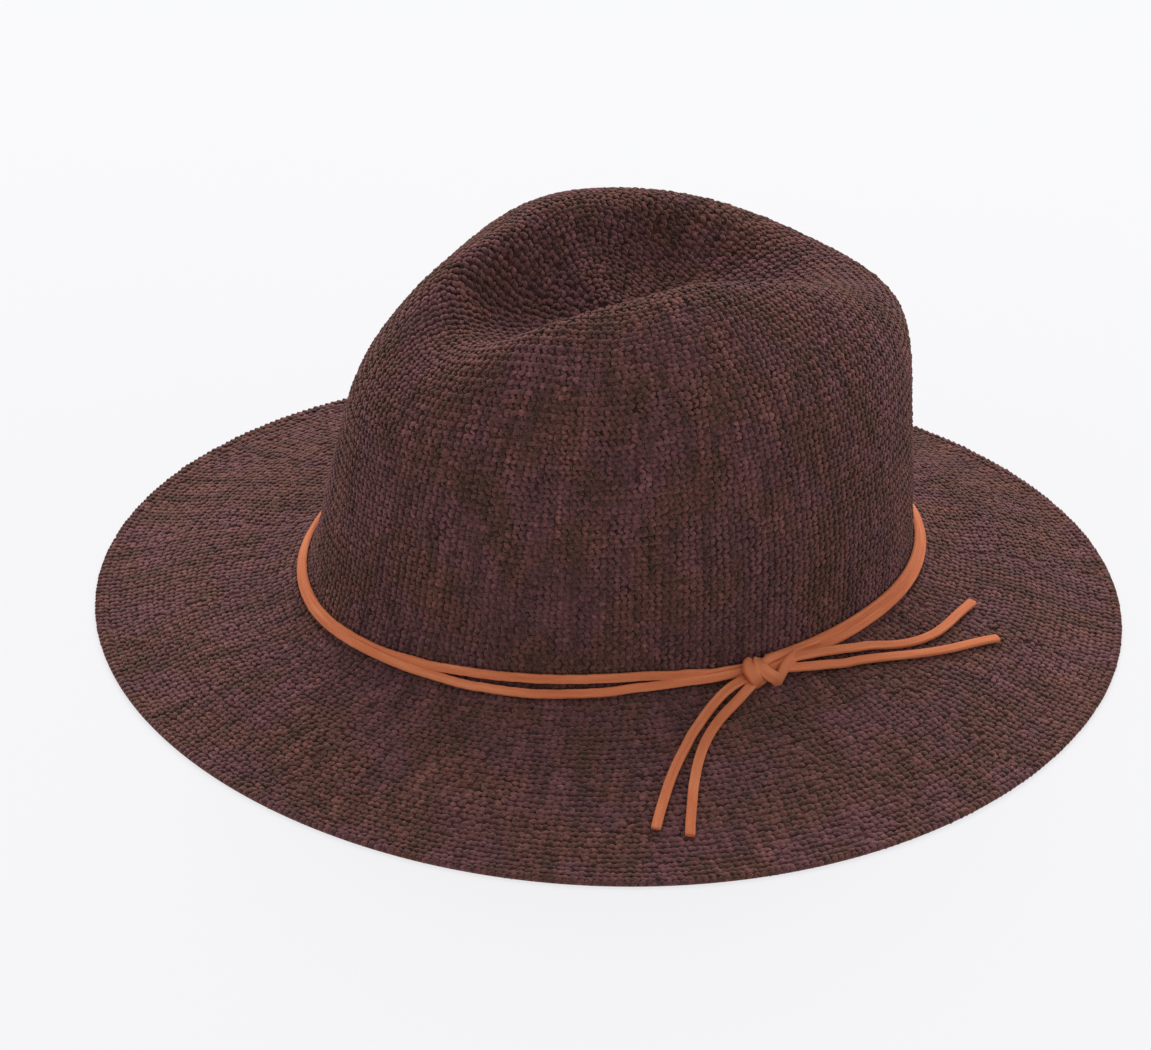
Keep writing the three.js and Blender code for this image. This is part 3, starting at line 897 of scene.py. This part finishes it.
def lace_outline():
    """The lace's section as x across and y through it: a superellipse, nearly a rectangle."""
    turn = np.linspace(0, 2 * np.pi, LACE_SIDES, endpoint=False)
    x = np.sign(np.cos(turn)) * np.abs(np.cos(turn)) ** SQUARE_ACROSS
    y = np.sign(np.sin(turn)) * np.abs(np.sin(turn)) ** SQUARE_THROUGH
    return x, y


def add_lace(name, line, out, wide=LACE_WIDE, thick=LACE_THICK):
    """A lace along a line of centres. At each, its section is centre + x across + y out, where
    across is at right angles to the line and out. A small ring at each end rounds the cut."""
    along = unit(np.gradient(line, axis=0))
    across = unit(np.cross(along, out))
    out = np.cross(across, along)
    x, y = lace_outline()
    wide, thick = (np.broadcast_to(size, len(line))[:, None] for size in (wide, thick))
    half_x, half_y = wide / 2 * x, thick / 2 * y
    rings = line[:, None] + half_x[..., None] * across[:, None] + half_y[..., None] * out[:, None]
    first = line[0] - along[0] * CUT_EDGE + BLUNT * (rings[0] - line[0])
    last = line[-1] + along[-1] * CUT_EDGE + BLUNT * (rings[-1] - line[-1])
    rings = np.concatenate([first[None], rings, last[None]])
    points = np.concatenate([first.mean(0)[None], rings.reshape(-1, 3), last.mean(0)[None]])
    piece = add_piece(name, points, tube_faces(len(rings), LACE_SIDES), LACE)
    length = np.concatenate([[0], np.cumsum(np.linalg.norm(np.diff(line, axis=0), axis=1))])
    lengths = np.concatenate([[0], length, length[-1:]])
    width = np.broadcast_to(x * LACE_WIDE / 2, (len(rings), LACE_SIDES))
    depth = np.broadcast_to(y * LACE_THICK / 2, (len(rings), LACE_SIDES))
    place = np.stack([np.broadcast_to(lengths[:, None], width.shape), width, depth], -1).reshape(-1, 3)
    place = np.concatenate([place[:1] * [1, 0, 0], place, place[-1:] * [1, 0, 0]]) / MM
    add_attribute(piece, "lace", place + [0, rng.uniform(0, 100), 0])
    return piece, length[-1]


# %% Lace ends
# x, y and the centre line's lift above the brim, in millimetres, from the knot outwards
TAIL_ROUTES = {
    "tail_front_a": (
        (87.4, -0.5, 3), (88.3, -3.9, 3.6), (89.3, -8.1, 3.4), (90.4, -11.9, 2.8), (92, -15.7, 2.2),
        (94.3, -19.8, 1.8), (97.1, -23.9, 1.6), (100.8, -28.9, 1.5), (105.2, -33.8, 1.5),
        (109.3, -38.3, 1.5), (113.8, -42.9, 1.5), (118.2, -47.1, 1.5), (122.4, -50.9, 1.5),
        (126.4, -54.5, 1.5), (129, -56.7, 1.5), (131.4, -58.7, 1.5),
    ),
    "tail_front_b": (
        (87.8, 2, 2.4), (90.1, -1.4, 2.9), (92.9, -6.2, 3.1), (94.9, -10.3, 2.7), (96.6, -14.3, 2.1),
        (99, -18.6, 1.7), (102, -22.8, 1.5), (105.7, -27, 1.5), (109.7, -30.8, 1.5),
        (114.1, -34.5, 1.5), (118.5, -37.8, 1.5), (122.8, -40.9, 1.5), (127, -43.6, 1.5),
        (131.3, -46.4, 1.5), (134.8, -48.6, 1.5), (138.2, -50.6, 1.5),
    ),
    "tail_back_a": (
        (87.7, 8.8, 3.5), (88.5, 11.8, 4.1), (89.1, 17.4, 3.9), (89.2, 22.3, 3.4), (89, 27.4, 2.7),
        (88.8, 32.7, 1.9), (88.5, 38.1, 1.7), (88.6, 43.2, 1.6), (89, 48.5, 1.6), (89.6, 54, 1.6),
        (90.2, 59.6, 1.6), (90.5, 65.3, 1.6), (90.5, 71.3, 1.6), (90, 77.7, 1.6), (89.4, 84.2, 1.6),
        (89.1, 90, 1.6),
    ),
    "tail_back_b": (
        (86.6, 10.6, 4.9), (85.9, 17, 4.9), (85.6, 21.3, 4.5), (85.2, 25.6, 4.1), (84.8, 30.3, 3.5),
        (84.3, 35.5, 2.8), (83.8, 40.5, 2.1), (83.4, 45, 1.8), (83.7, 49.5, 1.6), (84.3, 53.8, 1.6),
        (84.5, 58.5, 1.6), (84, 64.1, 1.6), (82.3, 70.3, 1.6), (79.1, 76.9, 1.6), (75, 83.5, 1.6),
        (69.5, 92.7, 1.6),
    ),
}
TAIL_STEPS = 90
HALVINGS = 16


def brim_place(x, y):
    """The angle and the place on the profile of the surface over points of the brim, by halving."""
    angle = np.arctan2(x + MIDDLE[0], -(y + MIDDLE[1]))
    radius = np.hypot(x + MIDDLE[0], y + MIDDLE[1])
    inner, outer = np.full(len(x), float(WALL_POINT)), np.full(len(x), float(EDGE))
    for _ in range(HALVINGS):
        between = (inner + outer) / 2
        beyond = profile(angle, between)[:, 0] > radius
        outer = np.where(beyond, between, outer)
        inner = np.where(beyond, inner, between)
    return angle, outer


def lace_end(name, route):
    """A loose end along its route, its broad face along the brim. Returns what it measures."""
    x, y, lift = np.array(route).T * MM
    angle, place = brim_place(x, y)
    centres = np.stack([x, y, lift + surface(angle, place)[:, 2]], 1)
    line = smooth_line(centres, TAIL_STEPS)
    out = directions(*brim_place(line[:, 0], line[:, 1]))[2]
    piece, length = add_lace(name + "_lace", line, out)
    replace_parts(piece, name)
    return length


for name, route in TAIL_ROUTES.items():
    print(name, "is", round(lace_end(name, route) / MM, 1), "mm long")

# %% [markdown]
# The doubled lace round the crown
# One long lace, doubled, lies where the wall turns out into the brim. The two strands run side by
# side, cross at the front, and press against each other beside the knot. Each is laid on the
# concave foot like a ribbon in a groove: it rests on its two edges, so its middle stands off a
# little. Heights and distances between the strands follow a short table of angles round the hat.

# %% Strands
# Angle from the front; height of the upper strand as a share of the crown's; distance from its
# middle to the lower one's, in lace widths; and how many thicknesses the lower one is lifted
STRAND_ROWS = np.array([
    [93, 0.04, 0.35, 0.9],
    [84, 0.048, 0.55, 0.7],
    [76, 0.062, 0.85, 0.25],
    [67, 0.071, 1.25, 0],
    [58, 0.071, 1.6, 0],
    [46, 0.068, 1.7, 0],
    [35, 0.064, 1.45, 0],
    [24, 0.057, 0.9, 0.3],
    [14, 0.051, 0.5, 0.45],
    [0, 0.047, 0.4, 0.35],
    [-25, 0.055, 0.35, 0.3],
    [-50, 0.075, 0.4, 0.3],
    [-75, 0.055, 1.2, 0],
    [-150, 0.045, 1.2, 0],
    [-212, 0.042, 1, 0.1],
    [-240, 0.052, 1.1, 0],
    [-267, 0.052, 1.06, 0],
])
STRAND_GAP = 0.3 * MM
# Pulled tight, the lace is a little narrower than at its loose ends
STRAND_WIDE = 2.9 * MM
STRAND_STEPS = 400
CHAIN_STEPS = 300
KNOT_ANGLE = 93
KNOT_LONG = 15 * MM
KNOT_WIDE = 8.6 * MM
KNOT_THICK = 6.6 * MM
KNOT_SEAT = 0.4
# How far the strands run into the knot
TUCKED_IN = 4 * MM


def strand_value(column, degrees):
    """A column of the table at any angle, eased from one row to the next."""
    rows = STRAND_ROWS[::-1]
    i = np.clip(np.searchsorted(rows[:, 0], degrees), 1, len(rows) - 1)
    share = np.clip((degrees - rows[i - 1, 0]) / (rows[i, 0] - rows[i - 1, 0]), 0, 1)
    share = share * share * (3 - 2 * share)
    return rows[i - 1, column] * (1 - share) + rows[i, column] * share


def seat_on_foot(degrees, drop, width):
    """Middle, direction down the foot and direction out of a flat thing that rests on its edges, a
    drop below the upper strand's height. The edges are found by length along the profile."""
    angle = np.radians(degrees)
    place = np.linspace(WALL_POINT, MID_BRIM, CHAIN_STEPS)
    chain = profile(np.repeat(angle, CHAIN_STEPS), np.tile(place, len(angle)))
    chain = chain.reshape(len(angle), CHAIN_STEPS, 2)
    steps = np.linalg.norm(np.diff(chain, axis=1), axis=2)
    length = np.concatenate([np.zeros((len(angle), 1)), np.cumsum(steps, axis=1)], axis=1)
    height = WALL + BRIM_RISE + strand_value(1, degrees) * CROWN_HIGH
    row = np.arange(len(angle))
    upper = length[row, np.argmax(chain[..., 1] <= height[:, None], axis=1)]

    def point_at(wanted):
        known = (length + row[:, None]).ravel()
        return np.stack([np.interp(wanted + row, known, chain[..., k].ravel()) for k in (0, 1)], 1)

    above, below = point_at(upper + drop - width / 2), point_at(upper + drop + width / 2)
    middle, down = (above + below) / 2, unit(below - above)
    # A direction has no place, so the middle that in_space takes off is given back to it
    return (
        in_space(angle, middle[:, 0], middle[:, 1]),
        in_space(angle, down[:, 0], down[:, 1]) + MIDDLE,
        in_space(angle, -down[:, 1], down[:, 0]) + MIDDLE,
    )


def add_strand(name, is_lower):
    """One strand from the knot round to the knot."""
    knot_radius = foot_radius(np.radians([KNOT_ANGLE]))[0]
    reach = np.degrees((KNOT_LONG / 2 - TUCKED_IN) / knot_radius)
    degrees = np.linspace(KNOT_ANGLE - reach, KNOT_ANGLE - 360 + reach, STRAND_STEPS)
    drop = strand_value(2, degrees) * LACE_WIDE * is_lower
    over = strand_value(3, degrees) * LACE_THICK * is_lower
    middle, _, out = seat_on_foot(degrees, drop, LACE_WIDE)
    line = middle + out * (STRAND_GAP + LACE_THICK / 2 + over)[:, None]
    return add_lace(name + "_lace", line, out, STRAND_WIDE)[0]


for number, name in enumerate(("band_upper", "band_lower")):
    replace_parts(add_strand(name, number), name)

# %% [markdown]
# The knot
# The laces are tied in a simple overhand knot. What is seen of it is one broad turn at the front
# end, a second turn that slants over it, the strand that comes in from the back and folds down under
# them, and a small fold on top. Each turn is a lace swept along a few points in the knot's own
# directions: round the hat towards the back, down the foot, and out. A core fills the inside.

# %% Knot
# Places in millimetres round the hat, down and out, from the knot's middle
KNOT_PATHS = {
    "knot_core": ((-5.2, 1, -0.6), (0, 1.2, -0.2), (5, 1.4, -0.4), (8.9, 1.2, -0.8)),
    "knot_top_fold": (
        (24.2, -3.4, -3.2), (19, -2.9, -2.4), (13.8, -2.5, -1.5), (10, -2.2, -0.6), (6.4, -1.9, 0.4),
        (3.2, -1.6, 1.1), (0.5, -0.8, 1.2), (-0.4, 0.4, 0.4),
    ),
    "knot_back_turn": (
        (28, -1.3, -4.4), (24.2, -1.1, -3.6), (19.3, -0.8, -2.5), (14.2, -0.5, -0.9), (10, 0.5, 1),
        (7, 2, 2.1), (5, 3.8, 1.9), (4, 5.4, 0.6), (3.8, 6.6, -1.8),
    ),
    "knot_slanted_turn": (
        (1.6, -2, -2), (-0.9, -1.7, 1), (-1.9, -0.6, 2.8), (-1.7, 1.1, 3.5), (-0.2, 3.1, 3.3),
        (2.2, 4.6, 2), (4.3, 5.8, -0.6),
    ),
    "knot_front_turn": (
        (-0.3, -1.9, -2.2), (-3.6, -1.9, 0.8), (-5, -1, 2.2), (-5.4, 0.4, 2.8), (-4.9, 2.2, 2.9),
        (-3.9, 3.4, 2), (-2.2, 4.6, -0.6),
    ),
}
# Width and thickness of each turn, in millimetres
KNOT_SIZES = {
    "knot_core": (4.4, 3.2),
    "knot_top_fold": (2.8, 1.6),
    "knot_back_turn": (3.6, 1.7),
    "knot_slanted_turn": (4.2, 1.9),
    "knot_front_turn": (4.8, 2.4),
}
KNOT_STEPS = 60
# Each turn faces away from a line this many millimetres inside the knot's middle
KNOT_AXIS = 2.0


def knot_frame():
    """The knot's middle and its directions: round the hat, down and out."""
    middle, down, out = seat_on_foot(np.array([KNOT_ANGLE]), LACE_WIDE / 2, KNOT_SEAT * KNOT_WIDE)
    angle = np.radians(KNOT_ANGLE)
    round_hat = np.array([np.cos(angle), np.sin(angle), 0])
    middle = middle[0] + out[0] * (STRAND_GAP + KNOT_THICK / 2)
    return middle, np.stack([round_hat, down[0], out[0]])


def add_knot():
    middle, axes = knot_frame()
    for name, path in KNOT_PATHS.items():
        local = smooth_line(path, KNOT_STEPS)
        round_hat = local[:, 0] * MM / foot_radius(np.radians([KNOT_ANGLE]))
        height = local[:, 2] + KNOT_AXIS + local[:, 0] * round_hat / 2
        away = unit(np.stack([round_hat * height, 0.5 * local[:, 1], height], 1))
        wide, thick = KNOT_SIZES[name]
        line = middle + local * MM @ axes
        piece, _ = add_lace(name, line, away @ axes, wide * MM, thick * MM)
        if name == "knot_core":
            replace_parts(piece, "lace_knot")


add_knot()

# %% [markdown]
# Floor and lights
# The picture was lit by a large soft source overhead and bounced light from all round, which leaves
# hardly any shadow on a white table. A big plane, a big square lamp and a pale world give the same.

# %% Studio
FLOOR_SIDE = 40
WORLD_STRENGTH = 0.67
LAMP_SIDE = 2.6
LAMP_WATTS = 110
LAMP_PLACE = (-2.2, 1.4, 2.6)
LAMP_TARGET = (0, 0, 0.05)


def add_floor():
    """A square floor just under the brim, matt and nearly white."""
    half = FLOOR_SIDE / 2
    corners = np.array([[-half, -half, 0], [half, -half, 0], [half, half, 0], [-half, half, 0]])
    mesh = bpy.data.meshes.new("floor")
    mesh.from_pydata(corners.tolist(), [], [(0, 1, 2, 3)])
    floor = bpy.data.objects.new("floor", mesh)
    bpy.context.scene.collection.objects.link(floor)
    material, tree, output = new_material("matt_white_paper")
    shader = add_node(
        tree,
        "ShaderNodeBsdfPrincipled",
        {
            "Base Color": linear("#6E6E6E"),
            "Roughness": 1.0,
            "Emission Color": linear("#F7F7F9"),
            "Emission Strength": 0.785,
        },
    )
    tree.links.new(shader.outputs[0], output.inputs["Surface"])
    mesh.materials.append(material)


def add_lamp():
    """A square area lamp at its place, turned to the hat."""
    data = bpy.data.lights.new("overhead", "AREA")
    data.size, data.energy = LAMP_SIDE, LAMP_WATTS
    lamp = bpy.data.objects.new("overhead", data)
    away = unit(np.array(LAMP_PLACE) - np.array(LAMP_TARGET))
    side = unit(np.cross([0, 1, 0.001], away))
    turned = np.eye(4)
    turned[:3, :3] = np.stack([side, np.cross(away, side), away], 1)
    turned[:3, 3] = LAMP_PLACE
    lamp.matrix_world = turned.T.tolist()
    bpy.context.scene.collection.objects.link(lamp)


def add_world():
    """A pale world that lights the hat from all round."""
    world = bpy.data.worlds.new("studio")
    world.use_nodes = True
    bpy.context.scene.world = world
    background = world.node_tree.nodes["Background"]
    background.inputs["Color"].default_value = linear("#FAFAFC")
    background.inputs["Strength"].default_value = WORLD_STRENGTH


bpy.context.scene.view_settings.view_transform = "Standard"
add_floor()
add_world()
add_lamp()

# %% [markdown]
# Finish
# The view layer is brought up to date.

# %% Finish
bpy.context.view_layer.update()
